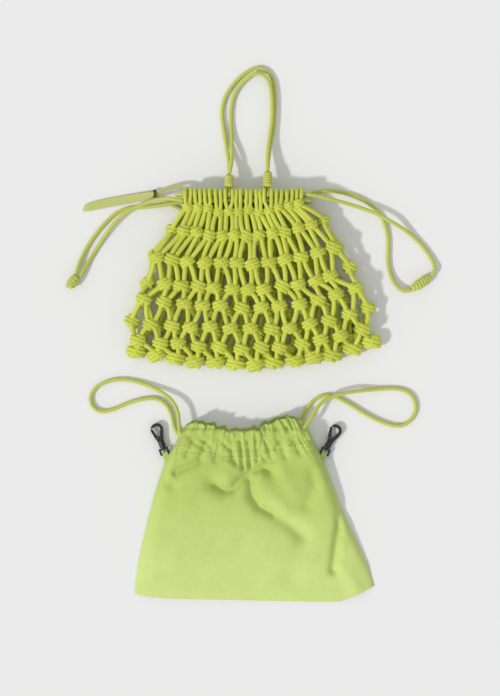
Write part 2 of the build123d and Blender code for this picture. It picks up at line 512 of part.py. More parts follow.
def snap_hook(side, bar, angle):
    """Tab, swivel eye, hook, gate, pin and spring of one snap hook, laid along its axis."""
    axis = Vector(math.cos(math.radians(angle)), math.sin(math.radians(angle)), 0)
    base = Plane(origin=(*bar, HOOK_HEIGHT), x_dir=axis, z_dir=(0, 0, 1))
    across = Plane(origin=base.origin, z_dir=axis, x_dir=base.y_dir)
    upright = Plane(origin=base.origin, x_dir=axis, z_dir=-base.y_dir)

    with BuildPart() as tab:
        inner = EYE_BAR_RADIUS + CLEARANCE
        with BuildSketch(upright):
            Circle(inner + TAB_CLOTH)
            with Locations((-8, 0)):
                Rectangle(16, 2 * (inner + TAB_CLOTH))
            Circle(inner, mode=Mode.SUBTRACT)
            with Locations((-8, 0)):
                Rectangle(16, 2 * inner, mode=Mode.SUBTRACT)
        extrude(amount=TAB_WIDTH / 2, both=True)
        with BuildSketch():
            add(outline(inset=-CLEARANCE))
        extrude(amount=2 * HOOK_HEIGHT, both=True, mode=Mode.SUBTRACT)
    outermost = tab.solids().sort_by_distance(base.origin)[0]
    with BuildPart() as kept_tab:
        add(outermost)
    finish(kept_tab.part, f"hook_tab_{side}")

    with BuildPart() as eye:
        frame_width = 2 * (EYE_WINDOW_HALF_WIDTH + 2 * EYE_BAR_RADIUS)
        with BuildSketch(base):
            with Locations((EYE_FRONT / 2, 0)):
                Rectangle(EYE_FRONT, frame_width)
            with Locations(((EYE_BAR_RADIUS + EYE_WINDOW_LENGTH) / 2, 0)):
                Rectangle(EYE_BAR_RADIUS + EYE_WINDOW_LENGTH, 2 * EYE_WINDOW_HALF_WIDTH, mode=Mode.SUBTRACT)
        extrude(amount=EYE_BAR_RADIUS, both=True)
        with BuildSketch(Plane(origin=base.origin, z_dir=base.y_dir)):
            Circle(EYE_BAR_RADIUS)
        extrude(amount=frame_width / 2, both=True)
        with BuildSketch(across.offset(EYE_FRONT)):
            Circle(POST_RADIUS)
        extrude(amount=POST_LENGTH)
        with BuildSketch(across.offset(WALL_END)):
            Circle(HEAD_RADIUS)
        extrude(amount=HEAD_LENGTH)
    finish(eye.part, f"hook_eye_{side}")

    pin, tip = GATE_PIN_PLACE, GATE_TIP_PLACE
    reach, swing = math.dist(pin, tip), math.radians(GATE_SWING + 2)
    rest = math.atan2(tip[1] - pin[1], tip[0] - pin[0])
    open_tip = (pin[0] + reach * math.cos(rest - swing), pin[1] + reach * math.sin(rest - swing))
    throat = (pin[0] + 3.4 * math.cos(rest), pin[1] + 3.4 * math.sin(rest))
    with BuildPart() as body:
        with BuildSketch(across.offset(BARREL_START)):
            Circle(BARREL_RADIUS)
        extrude(amount=BARREL_LENGTH)
        chamfer(body.edges().filter_by(GeomType.CIRCLE), 0.5)
        with BuildSketch(base):
            with Locations((RING_CENTRE, 0)):
                Circle(RING_RADIUS)
            with Locations((BARREL_END + 0.2, 0)):
                Circle(BARREL_RADIUS - 0.1)
            make_hull()
        extrude(amount=RING_THICKNESS / 2, both=True)
        with BuildSketch(base):
            with Locations((RING_CENTRE, 0)):
                Circle(RING_HOLE_RADIUS)
            with Locations((BARREL_END + 6, 0)):
                Circle(1.3)
            make_hull()
        extrude(amount=RING_THICKNESS, both=True, mode=Mode.SUBTRACT)
        with BuildSketch(base):                      # opening that the gate closes
            with Locations(throat, tip):
                Circle(2.2)
            make_hull()
        extrude(amount=RING_THICKNESS, both=True, mode=Mode.SUBTRACT)
        swept = [(pin[0] + reach * math.cos(rest - swing * share), pin[1] + reach * math.sin(rest - swing * share))
                 for share in (0, 0.25, 0.5, 0.75, 1)]
        with BuildSketch(base):                      # path that the gate's tip swings along
            with Locations(throat, *swept):
                Circle(1.85)
            make_hull()
        extrude(amount=RING_THICKNESS, both=True, mode=Mode.SUBTRACT)
        with BuildSketch(base):                      # slot that the gate's heel turns in
            with Locations(pin):
                Circle(2.7)
            with Locations(throat, (pin[0] + 4 * math.cos(rest - swing), pin[1] + 4 * math.sin(rest - swing))):
                Circle(1.6)
            make_hull()
        extrude(amount=GATE_THICKNESS / 2 + 0.15, both=True, mode=Mode.SUBTRACT)
        with BuildSketch(base):
            with Locations(pin):
                Circle(GATE_PIN_RADIUS)
        extrude(amount=RING_THICKNESS, both=True, mode=Mode.SUBTRACT)
        with BuildSketch(across.offset(BARREL_START - 1)):
            Circle(POST_RADIUS + POST_CLEARANCE)
        extrude(amount=WALL_END - BARREL_START + 1.1, mode=Mode.SUBTRACT)
        with BuildSketch(across.offset(WALL_END - 0.1)):
            Circle(HEAD_RADIUS + 0.08)
        extrude(amount=HEAD_LENGTH + 0.3, mode=Mode.SUBTRACT)
    finish(body.part, f"hook_body_{side}")

    with BuildPart() as gate:
        with BuildSketch(base):
            with Locations(pin):
                Circle(1.8)
            with Locations(tip):
                Circle(1.5)
            make_hull()
            with Locations(pin):
                Circle(GATE_PIN_RADIUS + 0.06, mode=Mode.SUBTRACT)
        extrude(amount=GATE_THICKNESS / 2, both=True)
    finish(gate.part, f"hook_gate_{side}")

    with BuildPart() as gate_pin:
        with BuildSketch(base):
            with Locations(pin):
                Circle(GATE_PIN_RADIUS)
        extrude(amount=RING_THICKNESS / 2, both=True)
    finish(gate_pin.part, f"hook_gate_pin_{side}")

    inward = (math.sin(rest), -math.cos(rest))
    spring_start = (pin[0] - 0.2 + 2.2 * inward[0], pin[1] + 2.2 * inward[1])
    with BuildPart() as spring:
        with BuildSketch(Plane(origin=base.from_local_coords((*spring_start, 0)),
                               x_dir=axis.rotate(Axis.Z, math.degrees(rest)), z_dir=(0, 0, 1))):
            with Locations((2.4, 0)):
                Rectangle(5.4, 0.4)
        extrude(amount=GATE_THICKNESS / 3, both=True)
    finish(spring.part, f"hook_spring_{side}")


snap_hook("left", LEFT_HOOK_BAR, LEFT_HOOK_ANGLE)
snap_hook("right", RIGHT_HOOK_BAR, RIGHT_HOOK_ANGLE)
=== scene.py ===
"""Looks of a knotted cord net bag and of the canvas pouch that clips inside it.

Both lie flat on a pale floor: the net and its handle above, the pouch below.
Lengths are metres; MM turns millimetres into metres.
"""
import logging
import random
from dataclasses import dataclass, field
from enum import Enum
from math import atan2, copysign, cos, dist, exp, hypot, pi, radians, sin
from typing import Callable, Optional, Sequence

import bpy
import numpy as np
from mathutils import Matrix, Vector


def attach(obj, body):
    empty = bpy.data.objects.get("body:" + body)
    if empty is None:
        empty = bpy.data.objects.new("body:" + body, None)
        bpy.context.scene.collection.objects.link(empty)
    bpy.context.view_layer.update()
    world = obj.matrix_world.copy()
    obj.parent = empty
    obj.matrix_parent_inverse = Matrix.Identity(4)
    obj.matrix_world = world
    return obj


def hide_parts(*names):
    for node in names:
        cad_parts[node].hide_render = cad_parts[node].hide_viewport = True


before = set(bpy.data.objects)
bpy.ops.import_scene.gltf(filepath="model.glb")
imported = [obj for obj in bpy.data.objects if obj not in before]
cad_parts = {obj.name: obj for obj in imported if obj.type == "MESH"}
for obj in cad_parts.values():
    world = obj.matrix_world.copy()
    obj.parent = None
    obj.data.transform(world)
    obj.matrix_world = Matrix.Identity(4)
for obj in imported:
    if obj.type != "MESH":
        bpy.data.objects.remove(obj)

logging.basicConfig(level=logging.INFO, format="%(message)s")
LOG = logging.getLogger("bag")
MM = 0.001
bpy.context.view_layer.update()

Point = tuple[float, float, float]
Colour = tuple[float, float, float]
Material = bpy.types.Material

DRAWCORD = 4.4
NET_CORD = 5.2
FLOOR = DRAWCORD / 2 + 0.1
SLOPE = radians(16.0)
UPPER_DRAWCORD_Y, LOWER_DRAWCORD_Y = 219.5, 212.0
FRONT_Z, BACK_Z = 22.3, 5.75
MOUTH_LEFT, MOUTH_RIGHT = -53.0, 84.5
FOOT_X = (-1.5, 42.5)
WRAP_START, WRAP_LENGTH, WRAP_RADIUS = 8.0, (15.0, 19.0), 5.6
HEM_LEFT, HEM_RIGHT = -44.0, 71.0
POUCH_TOP_Y, HEM_HEIGHT = -71.0, 31.0
HEM_BACK_Z, HEM_FRONT_Z = 5.2, 18.4
HEM_CORD_Y = (POUCH_TOP_Y + HEM_HEIGHT / 2 - 2.5, POUCH_TOP_Y + HEM_HEIGHT / 2 + 2.5)


class Body(Enum):
    """Rigid bodies of the frame that new pieces ride on."""
    NET = "net"
    HANDLE = "handle"
    POUCH = "pouch"


# ---------------------------------------------------------------- shader node groups
def new_group(name: str, inputs: Sequence[tuple[str, str, float]],
              outputs: Sequence[tuple[str, str]]) -> tuple:
    """Start a shader node group.

    Args:
        name: name of the group.
        inputs: name, socket type and default of each input.
        outputs: name and socket type of each output.

    Returns:
        The group's tree, its input node and its output node.
    """
    tree = bpy.data.node_groups.new(name, "ShaderNodeTree")
    for label, kind, default in inputs:
        socket = tree.interface.new_socket(name=label, in_out="INPUT", socket_type=kind)
        if kind == "NodeSocketFloat":
            socket.default_value = default
    for label, kind in outputs:
        tree.interface.new_socket(name=label, in_out="OUTPUT", socket_type=kind)
    return tree, tree.nodes.new("NodeGroupInput"), tree.nodes.new("NodeGroupOutput")


def set_inputs(node: bpy.types.Node, values: dict) -> None:
    """Give a node's inputs their values, by name or by index."""
    for key, value in values.items():
        node.inputs[key].default_value = value


def math_node(tree: bpy.types.NodeTree, operation: str, first, second=None) -> bpy.types.NodeSocket:
    """Add a Math node and return its output; each operand is a socket or a number."""
    node = tree.nodes.new("ShaderNodeMath")
    node.operation = operation
    for index, value in enumerate((first, second)):
        if value is None:
            continue
        if isinstance(value, (int, float)):
            node.inputs[index].default_value = value
        else:
            tree.links.new(value, node.inputs[index])
    return node.outputs[0]


def braid_group() -> bpy.types.NodeTree:
    """Height of a braided sheath and painted shade in its grooves, from a cord's own map: u around it, v
    along it.
    """
    tree, start, end = new_group(
        "braided_sheath",
        [("Vector", "NodeSocketVector", 0), ("Around", "NodeSocketFloat", 5),
         ("Along", "NodeSocketFloat", 1)],
        [("Height", "NodeSocketFloat"), ("Shade", "NodeSocketFloat")])
    split = tree.nodes.new("ShaderNodeSeparateXYZ")
    tree.links.new(start.outputs["Vector"], split.inputs[0])
    around = math_node(tree, "MULTIPLY", split.outputs[0], start.outputs["Around"])
    along = math_node(tree, "MULTIPLY", split.outputs[1], start.outputs["Along"])
    strands = []
    for operation in ("ADD", "SUBTRACT"):
        phase = math_node(tree, "MULTIPLY", math_node(tree, operation, around, along), 2 * pi)
        strands.append(math_node(tree, "ABSOLUTE", math_node(tree, "SINE", phase)))
    height = math_node(tree, "MAXIMUM", *strands)
    tree.links.new(height, end.inputs["Height"])
    # painted shade: Shade is low in the grooves between strands, so the grooves get the dark tone
    tree.links.new(math_node(tree, "POWER", height, 1.5), end.inputs["Shade"])
    return tree


def weave_group() -> bpy.types.NodeTree:
    """Height of a plain weave, over and under, from coordinates on the cloth."""
    tree, start, end = new_group(
        "plain_weave",
        [("Vector", "NodeSocketVector", 0), ("Threads", "NodeSocketFloat", 1100)],
        [("Height", "NodeSocketFloat"), ("Slub", "NodeSocketFloat")])
    split = tree.nodes.new("ShaderNodeSeparateXYZ")
    tree.links.new(start.outputs["Vector"], split.inputs[0])
    waves = []
    for axis in (0, 1):
        phase = math_node(tree, "MULTIPLY", split.outputs[axis], start.outputs["Threads"])
        waves.append(math_node(tree, "SINE", math_node(tree, "MULTIPLY", phase, pi)))
    tree.links.new(math_node(tree, "MULTIPLY", *waves), end.inputs["Height"])
    slub = tree.nodes.new("ShaderNodeTexNoise")
    set_inputs(slub, {"Scale": 220, "Detail": 5})
    tree.links.new(start.outputs["Vector"], slub.inputs["Vector"])
    tree.links.new(slub.outputs["Fac"], end.inputs["Slub"])
    return tree


def wear_group() -> bpy.types.NodeTree:
    """Mask of worn and dusty patches, from coordinates on the piece."""
    tree, start, end = new_group(
        "handling_wear",
        [("Vector", "NodeSocketVector", 0), ("Scale", "NodeSocketFloat", 40)],
        [("Mask", "NodeSocketFloat")])
    noise = tree.nodes.new("ShaderNodeTexNoise")
    noise.inputs["Detail"].default_value = 6
    tree.links.new(start.outputs["Vector"], noise.inputs["Vector"])
    tree.links.new(start.outputs["Scale"], noise.inputs["Scale"])
    tree.links.new(noise.outputs["Fac"], end.inputs["Mask"])
    return tree


GROUPS = {"braid": braid_group(), "weave": weave_group(), "wear": wear_group()}


@dataclass(frozen=True)
class Finish:
    """A material: two tones of one colour, how rough it is and which surface detail it has. With braid detail
    the dark tone is painted shade in the grooves, and on the canvas it is also painted shade towards the
    mouth.
    """

    name: str
    light: Colour
    dark: Colour
    roughness: float
    detail: str = "wear"            # braid, weave or wear
    uses_map: bool = False          # detail follows the piece's own map
    relief: float = 0.4
    relief_height: float = 0.0002
    around: float = 5.0
    along: float = 1.0
    sheen: float = 0.0
    metallic: float = 0.0
    painted_shade_span: Optional[tuple[float, float]] = None      # painted shade towards the mouth: y where it is darkest and where it is lightest

    def build(self) -> Material:
        """Make the node material.

        Returns:
            The new material.
        """
        material = bpy.data.materials.new(self.name)
        material.use_nodes = True
        tree = material.node_tree
        shader = tree.nodes["Principled BSDF"]
        set_inputs(shader, {"Roughness": self.roughness, "Metallic": self.metallic,
                            "Sheen Weight": self.sheen})
        where = tree.nodes.new("ShaderNodeTexCoord")
        own = where.outputs["Object"]
        wear = tree.nodes.new("ShaderNodeGroup")
        wear.node_tree = GROUPS["wear"]
        wear.inputs["Scale"].default_value = 40 if self.detail != "wear" else 160
        tree.links.new(own, wear.inputs["Vector"])
        detail = tree.nodes.new("ShaderNodeGroup")
        detail.node_tree = GROUPS[self.detail]
        tree.links.new(where.outputs["UV"] if self.uses_map else own, detail.inputs["Vector"])
        if self.detail == "braid":
            set_inputs(detail, {"Around": self.around, "Along": self.along})
            tone_and_painted_groove_shade, height = detail.outputs["Shade"], detail.outputs["Height"]
        elif self.detail == "weave":
            tone_and_painted_groove_shade, height = detail.outputs["Slub"], detail.outputs["Height"]
        else:
            detail.inputs["Scale"].default_value = 900
            tone_and_painted_groove_shade, height = detail.outputs["Mask"], detail.outputs["Mask"]
        # light tone on braid crests and dark tone in the grooves, which is painted shade; slub and wear noise
        # vary the tone at random
        blend = math_node(tree, "MULTIPLY_ADD", tone_and_painted_groove_shade, 0.6 if self.painted_shade_span is None else 0.3)
        offset = math_node(tree, "MULTIPLY", wear.outputs["Mask"], 0.5)
        # painted shade: the canvas darkens smoothly towards its gathered mouth
        if self.painted_shade_span is not None:
            place = tree.nodes.new("ShaderNodeSeparateXYZ")
            tree.links.new(own, place.inputs[0])
            ramp = tree.nodes.new("ShaderNodeMapRange")
            ramp.interpolation_type = "SMOOTHSTEP"
            set_inputs(ramp, {"From Min": self.painted_shade_span[0], "From Max": self.painted_shade_span[1],
                              "To Min": -0.12, "To Max": 0.5})
            tree.links.new(place.outputs[1], ramp.inputs["Value"])
            offset = math_node(tree, "ADD", offset, ramp.outputs["Result"])
        tree.links.new(offset, blend.node.inputs[2])
        mix = tree.nodes.new("ShaderNodeMix")
        mix.data_type = "RGBA"
        set_inputs(mix, {6: (*self.dark, 1), 7: (*self.light, 1)})
        tree.links.new(blend, mix.inputs[0])
        tree.links.new(mix.outputs[2], shader.inputs["Base Color"])
        bump = tree.nodes.new("ShaderNodeBump")
        set_inputs(bump, {"Strength": self.relief, "Distance": self.relief_height})
        tree.links.new(height, bump.inputs["Height"])
        tree.links.new(bump.outputs["Normal"], shader.inputs["Normal"])
        return material


# in the braid finishes the dark tone is painted shade, laid in the grooves of the braid
NET_FINISH = Finish("net_cord_olive_lime", (0.74, 0.83, 0.09), (0.27, 0.25, 0.002), 0.5, "braid", True,
                    relief=0.8, relief_height=0.0004, around=4, along=0.9, sheen=0.12)
DRAWCORD_FINISH = Finish("drawcord_lime", (0.62, 0.67, 0.13), (0.36, 0.37, 0.03), 0.6, "braid", True,
                         relief=0.6, relief_height=0.00025, around=4, along=2.6, sheen=0.15)
# the canvas's dark tone is painted shade near its gathered mouth, mixed with slub
CANVAS_FINISH = Finish("canvas_light_lime", (0.61, 0.74, 0.235), (0.40, 0.50, 0.075), 0.85, "weave",
                       relief=0.35, relief_height=0.00015, sheen=0.2, painted_shade_span=(-0.06, -0.235))
STITCH_FINISH = Finish("stitch_thread_pale", (0.85, 0.92, 0.55), (0.72, 0.80, 0.40), 0.7, "braid", True)
STRAP_FINISH = Finish("strap_olive", (0.56, 0.59, 0.20), (0.50, 0.53, 0.15), 0.55,
                      relief=0.2, relief_height=0.0001)
THREAD_FINISH = Finish("thread_black", (0.035, 0.03, 0.02), (0.012, 0.01, 0.008), 0.7, "braid", True)
METAL_FINISH = Finish("metal_black_coated", (0.055, 0.055, 0.06), (0.022, 0.022, 0.025), 0.34,
                      relief=0.15, relief_height=0.0001, metallic=0.6)
SPRING_FINISH = Finish("spring_dark_steel", (0.34, 0.34, 0.35), (0.2, 0.2, 0.21), 0.35,
                       relief=0.1, relief_height=0.0001, metallic=1.0)


# ---------------------------------------------------------------- mesh helpers
@dataclass
class Tubes:
    """Round cords gathered in one mesh, each with a map of u around it and v along it."""

    sides: int = 8
    points: list = field(default_factory=list)
    faces: list = field(default_factory=list)
    uvs: list = field(default_factory=list)

    def add(self, path: Sequence[Sequence[float]], radius: float | Sequence[float], closed: bool = False,
            squash: float = 1.0) -> None:
        """Add one tube.

        Args:
            path: centre line in metres.
            radius: radius in metres, one for all points or one for each.
            closed: whether the path's end joins its start.
            squash: height of the section over its width.
        """
        line = np.asarray(path, float)
        count = len(line)
        radii = np.full(count, radius) if np.isscalar(radius) else np.asarray(radius, float)
        if closed:
            tangent = np.roll(line, -1, 0) - np.roll(line, 1, 0)
        else:
            tangent = np.gradient(line, axis=0)
        tangent /= np.maximum(np.linalg.norm(tangent, axis=1, keepdims=True), 1e-12)
        normal = np.cross(tangent[0], (0.0, 0.0, 1.0))
        if np.linalg.norm(normal) < 1e-3:
            normal = np.cross(tangent[0], (1.0, 0.0, 0.0))
        frames = []
        for t in tangent:
            normal = normal - t * normal.dot(t)
            normal /= np.linalg.norm(normal)
            frames.append((normal.copy(), np.cross(t, normal)))
        steps = np.linalg.norm(np.diff(line, axis=0), axis=1)
        along = np.concatenate([[0], np.cumsum(steps)]) / (2 * radii.mean())
        first = len(self.points)
        for centre, r, (side, up) in zip(line, radii, frames):
            for k in range(self.sides):
                angle = 2 * pi * k / self.sides
                out = cos(angle) * side + squash * sin(angle) * up
                self.points.append(tuple(centre + r * out))
        rings = count if closed else count - 1
        for i in range(rings):
            j = (i + 1) % count
            v0, v1 = along[i], along[i] + (along[1] if closed else along[j] - along[i])
            for k in range(self.sides):
                m = (k + 1) % self.sides
                self.faces.append((first + i * self.sides + k, first + i * self.sides + m,
                                   first + j * self.sides + m, first + j * self.sides + k))
                u0, u1 = k / self.sides, (k + 1) / self.sides
                self.uvs += [(u0, v0), (u1, v0), (u1, v1), (u0, v1)]
        if not closed:
            last = first + (count - 1) * self.sides
            self.faces.append(tuple(first + k for k in reversed(range(self.sides))))
            self.faces.append(tuple(last + k for k in range(self.sides)))
            self.uvs += [(0.0, 0.0)] * (2 * self.sides)

    def finish(self, name: str, finish: Material) -> bpy.types.Object:
        """Make the mesh object.

        Args:
            name: name of the piece.
            finish: its material.

        Returns:
            The new object, at the origin.
        """
        return mesh_object(name, self.points, self.faces, finish, self.uvs)


def mesh_object(name: str, points: Sequence, faces: Sequence, finish: Material,
                uvs: Optional[Sequence] = None) -> bpy.types.Object:
    """Make a smooth mesh object with its place in its mesh and its normals outwards."""
    mesh = bpy.data.meshes.new(name)
    mesh.from_pydata([tuple(map(float, p)) for p in points], [], [tuple(f) for f in faces])
    if uvs is not None:
        layer = mesh.uv_layers.new(name="UVMap")
        layer.data.foreach_set("uv", np.asarray(uvs, float).ravel())
    mesh.materials.append(finish)
    mesh.shade_smooth()
    piece = bpy.data.objects.new(name, mesh)
    bpy.context.scene.collection.objects.link(piece)
    bpy.ops.object.select_all(action="DESELECT")
    bpy.context.view_layer.objects.active = piece
    piece.select_set(True)
    bpy.ops.object.mode_set(mode="EDIT")
    bpy.ops.mesh.select_all(action="SELECT")
    bpy.ops.mesh.normals_make_consistent(inside=False)
    bpy.ops.object.mode_set(mode="OBJECT")
    return piece


def smooth_line(points: Sequence[Point], per_run: int = 6) -> np.ndarray:
    """Points of the smooth NURBS curve that a route's points control, in metres.

    Args:
        points: the route in millimetres.
        per_run: points on the curve for each run of the route.

    Returns:
        The curve's points, one row each.
    """
    curve = bpy.data.curves.new("route", "CURVE")
    curve.dimensions = "3D"
    curve.resolution_u = per_run
    spline = curve.splines.new("NURBS")
    spline.points.add(len(points) - 1)
    for control, place in zip(spline.points, points):
        control.co = (*(v * MM for v in place), 1)
    spline.order_u = 3
    spline.use_endpoint_u = True
    holder = bpy.data.objects.new("route", curve)
    bpy.context.scene.collection.objects.link(holder)
    bpy.context.view_layer.update()
    mesh = bpy.data.meshes.new_from_object(holder)
    line = np.array([v.co[:] for v in mesh.vertices])
    bpy.data.objects.remove(holder)
    bpy.data.meshes.remove(mesh)
    return line


def coil(start: Point, direction: Point, length: float, pitch: float,
         radius: Callable[[float], float], steps: int = 14, lean: float = 0.0) -> np.ndarray:
    """Centre line of a coil wound round a straight axis.

    Args:
        start: start of the axis, in millimetres.
        direction: unit vector along it.
        length: length of the coil, in millimetres.
        pitch: distance from turn to turn, in millimetres.
        radius: radius of the centre line at a share of the length.
        steps: points in a turn.
        lean: how far the turns lean over, as a share of the radius.

    Returns:
        The points, in metres.
    """
    axis = Vector(direction).normalized()
    side = axis.cross(Vector((0, 0, 1))).normalized()
    up = side.cross(axis)
    count = max(4, int(length / pitch * steps))
    line = []
    for i in range(count + 1):
        share = i / count
        angle = 2 * pi * share * length / pitch
        r = radius(share)
        along = share * length + lean * r * sin(angle)
        place = Vector(start) + axis * along + side * r * cos(angle) + up * r * sin(angle)
        line.append(place * MM)
    return np.array([p[:] for p in line])


def register(piece: bpy.types.Object, body: Body, slot: str, *nodes: str) -> bpy.types.Object:
    """Say which body a new piece rides on and the nodes that it replaces."""
    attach(piece, body.value)
    if nodes:
        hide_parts(*nodes)
    LOG.info("made %s, %d faces", piece.name, len(piece.data.polygons))
    return piece


# ---------------------------------------------------------------- free cords
def along_wrap(distance: float, lift: float = 0.0) -> tuple[float, float]:
    """Point on a handle wrap's axis, this far from the drawcord, as (y, z)."""
    return (UPPER_DRAWCORD_Y + distance * cos(SLOPE) + lift * sin(SLOPE),
            FRONT_Z - distance * sin(SLOPE) + lift * cos(SLOPE))


STACK = DRAWCORD / 2 + 0.15
LEFT_END, RIGHT_END = WRAP_START + WRAP_LENGTH[0], WRAP_START + WRAP_LENGTH[1]

ROUTES: dict[str, list[Point]] = {
    "net_tail_left_upper": [
        (MOUTH_LEFT, LOWER_DRAWCORD_Y, FRONT_Z), (-64, 214.5, 21.5), (-77, 215, 18),
        (-91, 212, 14), (-106, 206.5, 12), (-121, 199, 12), (-133, 188.5, 9), (-143.5, 174, 4.5),
        (-154, 158, FLOOR), (-162.5, 144, 2.6), (-169, 132.5, 5), (-172.8, 125.8, 6.2)],
    "net_tail_left_lower": [
        (MOUTH_LEFT, LOWER_DRAWCORD_Y, BACK_Z), (-64, 210.5, 5.2), (-77, 208.5, 4),
        (-92, 206.5, FLOOR), (-107, 205.8, FLOOR), (-120, 204.5, FLOOR), (-133, 198.5, FLOOR),
        (-146, 186, FLOOR), (-157.5, 172, FLOOR), (-167, 156.5, 2.6), (-174, 141, 4.5),
        (-177.3, 129.2, 6.2)],
    "net_tail_right_lower": [
        (MOUTH_RIGHT, UPPER_DRAWCORD_Y, BACK_Z), (99, 223.5, 5.2), (114.5, 225, 4),
        (131.5, 222.5, FLOOR), (147, 217.5, FLOOR), (158.5, 211, FLOOR), (167.5, 203, FLOOR),
        (174.5, 193.5, FLOOR), (179, 182.5, FLOOR), (181.2, 170.5, FLOOR), (181.2, 157.5, FLOOR),
        (180.8, 145.5, FLOOR), (182.4, 133.5, FLOOR), (185.8, 123.5, 3), (190, 115.8, 4.6),
        (196, 110.2, 5.8), (202, 109, 6.2), (207.2, 111.1, 6.2)],
    "net_tail_right_upper": [
        (MOUTH_RIGHT, UPPER_DRAWCORD_Y, FRONT_Z), (99, 218, 21.5), (114, 214, 18),
        (128, 211, 14), (142, 207, 11.8), (157, 202, 11.8), (171, 196, 11.8), (185, 188.5, 11),
        (199, 180.5, 6), (211, 171.5, 2.6), (221.5, 160.5, FLOOR), (229.8, 149, 2.6),
        (234, 139, 4), (234.5, 131.5, 6.2), (229.5, 126.8, 6.2)],
    "handle_cord_outer": [
        (FOOT_X[0], *along_wrap(LEFT_END, -STACK)), (-1.2, 254, 10),
        (-3.5, 268, 6.5), (-5.8, 283, 3.2), (-8.6, 299, FLOOR), (-10.4, 315.5, FLOOR),
        (-7, 331.5, FLOOR), (1.5, 345.5, FLOOR), (12.5, 357, FLOOR), (24.5, 365, FLOOR),
        (36, 366.8, FLOOR), (45.6, 360, FLOOR), (50, 348, FLOOR), (51, 332, FLOOR),
        (50.6, 315, FLOOR), (49.6, 299, FLOOR), (47, 284, 3.2), (44.8, 270, 6),
        (43, 257.5, 9), (FOOT_X[1], *along_wrap(RIGHT_END, -STACK))],
    "handle_cord_inner": [
        (FOOT_X[0], *along_wrap(LEFT_END + 0.5, STACK)), (1.2, 254, 14.5),
        (2, 268, 9.5), (1.4, 283, 4.5), (0.4, 299, FLOOR), (0.2, 315, FLOOR),
        (2.6, 331, FLOOR), (8.5, 343.5, 3.5), (17.8, 353, 5.6), (27.5, 359, 7.2),
        (38, 357.8, 7.3), (45, 348.6, 7.3), (47.2, 336, 7.3), (47.9, 322, 7.3),
        (47.7, 308, 7.3), (46.5, 296, 7.5), (44.6, 284.5, 8.4), (42.9, 270, 11),
        (42.3, 257.5, 14), (FOOT_X[1], *along_wrap(RIGHT_END, STACK))],
    "pouch_loop_left": [
        (HEM_LEFT, HEM_CORD_Y[0], HEM_FRONT_Z), (-52.5, -58.2, 18.2), (-58.2, -52, 17.6),
        (-58.8, -42, 16.4), (-59.4, -30, 14.4), (-65, -17.5, 11), (-76, -8, 7), (-89, -1, 4),
        (-104, 5, FLOOR), (-120, 8.2, FLOOR), (-134, 8, FLOOR), (-147, 4, FLOOR),
        (-156.5, -2.5, FLOOR), (-162, -13, FLOOR), (-158.5, -24.3, FLOOR), (-148, -29.6, FLOOR),
        (-135.5, -27, FLOOR), (-121.5, -20.5, FLOOR), (-107, -15.5, FLOOR), (-92, -12.8, FLOOR),
        (-79.5, -15.5, FLOOR), (-70.5, -24.5, 2.6), (-66.5, -36.5, 3.2), (-64.5, -48, 4),
        (-58.5, -56, 4.8), (-51.5, -58.4, 5.1), (HEM_LEFT, HEM_CORD_Y[0], HEM_BACK_Z)],
    "pouch_loop_right": [
        (HEM_RIGHT, HEM_CORD_Y[1], HEM_BACK_Z), (77.2, -52.4, 5), (81.4, -46.5, 4.4), (83, -36.5, 3.4),
        (87.5, -25, 2.6), (96, -14.8, FLOOR), (108, -9.4, FLOOR), (120, -11, FLOOR),
        (130.5, -16.5, FLOOR), (142, -23.5, FLOOR), (156, -32, FLOOR), (170, -39.5, FLOOR),
        (184, -44.5, FLOOR), (197, -45.5, FLOOR), (207, -39.5, FLOOR), (213.5, -28, FLOOR),
        (212, -15.5, FLOOR), (205, -6.5, FLOOR), (194, -2.5, FLOOR), (181, -2, FLOOR),
        (165, -3.2, 3.5), (149, -4.6, 8), (133, -6.8, 11.2), (118.5, -10.2, 11.6), (106.5, -16, 13),
        (98, -25, 15), (92, -35.5, 16.6), (85.5, -45.5, 17.6), (78.2, -51.8, 18.2),
        (HEM_RIGHT, HEM_CORD_Y[1], HEM_FRONT_Z)],
}


@dataclass
class FreeCord:
    """A cord that lies free: a tail with a stopper knot, or a loop that goes back in."""

    node: str
    body: Body
    far_end: str
    on_cord: tuple = ()

    def build(self, finish: Material) -> bpy.types.Object:
        """Args:
            finish: its material.

        Returns:
            The cord.
        """
        line = smooth_line(ROUTES[self.node])
        tube = Tubes(sides=12)
        tube.add(line, DRAWCORD / 2 * MM)
        piece = register(tube.finish(f"{self.node}_cord", finish), self.body, "drawcord", self.node)
        return piece


@dataclass
class StopperKnot:
    """A stopper knot: the tail's end wound round itself."""

    node: str
    start: Point
    angle: float
    length: float
    turns: float
    blunt: float                    # share of full radius left at the ends
    radius: float = 6.0
    strand: float = 3.9

    def build(self, finish: Material) -> bpy.types.Object:
        """Make the knot.

        Args:
            finish: its material.

        Returns:
            The knot.
        """
        direction = (cos(radians(self.angle)), sin(radians(self.angle)), 0.0)
        pitch = (self.length - self.strand) / self.turns
        start = tuple(s + d * self.strand / 2 for s, d in zip(self.start, direction))

        def profile(share: float) -> float:
            """Radius of the winding's centre line at a share of its length."""
            full = self.radius - self.strand / 2
            return full * (self.blunt + (1 - self.blunt) * sin(pi * share) ** 0.7)

        tubes = Tubes(sides=10)
        winding = coil(start, direction, self.length - self.strand, pitch, profile, steps=18, lean=0.35)
        tubes.add(winding, self.strand / 2 * MM)
        core = [Vector(self.start) + Vector(direction) * self.length * k / 8 for k in range(9)]
        core_radius = self.radius * MM * 0.62
        tubes.add([p * MM for p in core], [core_radius * (0.75 if k in (0, 8) else 1) for k in range(9)])
        return register(tubes.finish(f"{self.node}_knot", finish), Body.NET, "drawcord", self.node)


# ---------------------------------------------------------------- knotted net
def turned(centre: Vector, x: float, y: float, z: float, angle: float) -> Point:
    """Place of a point given from a centre, after a turn about the vertical."""
    return (centre.x + x * cos(angle) - y * sin(angle),
            centre.y + x * sin(angle) + y * cos(angle), centre.z + z)


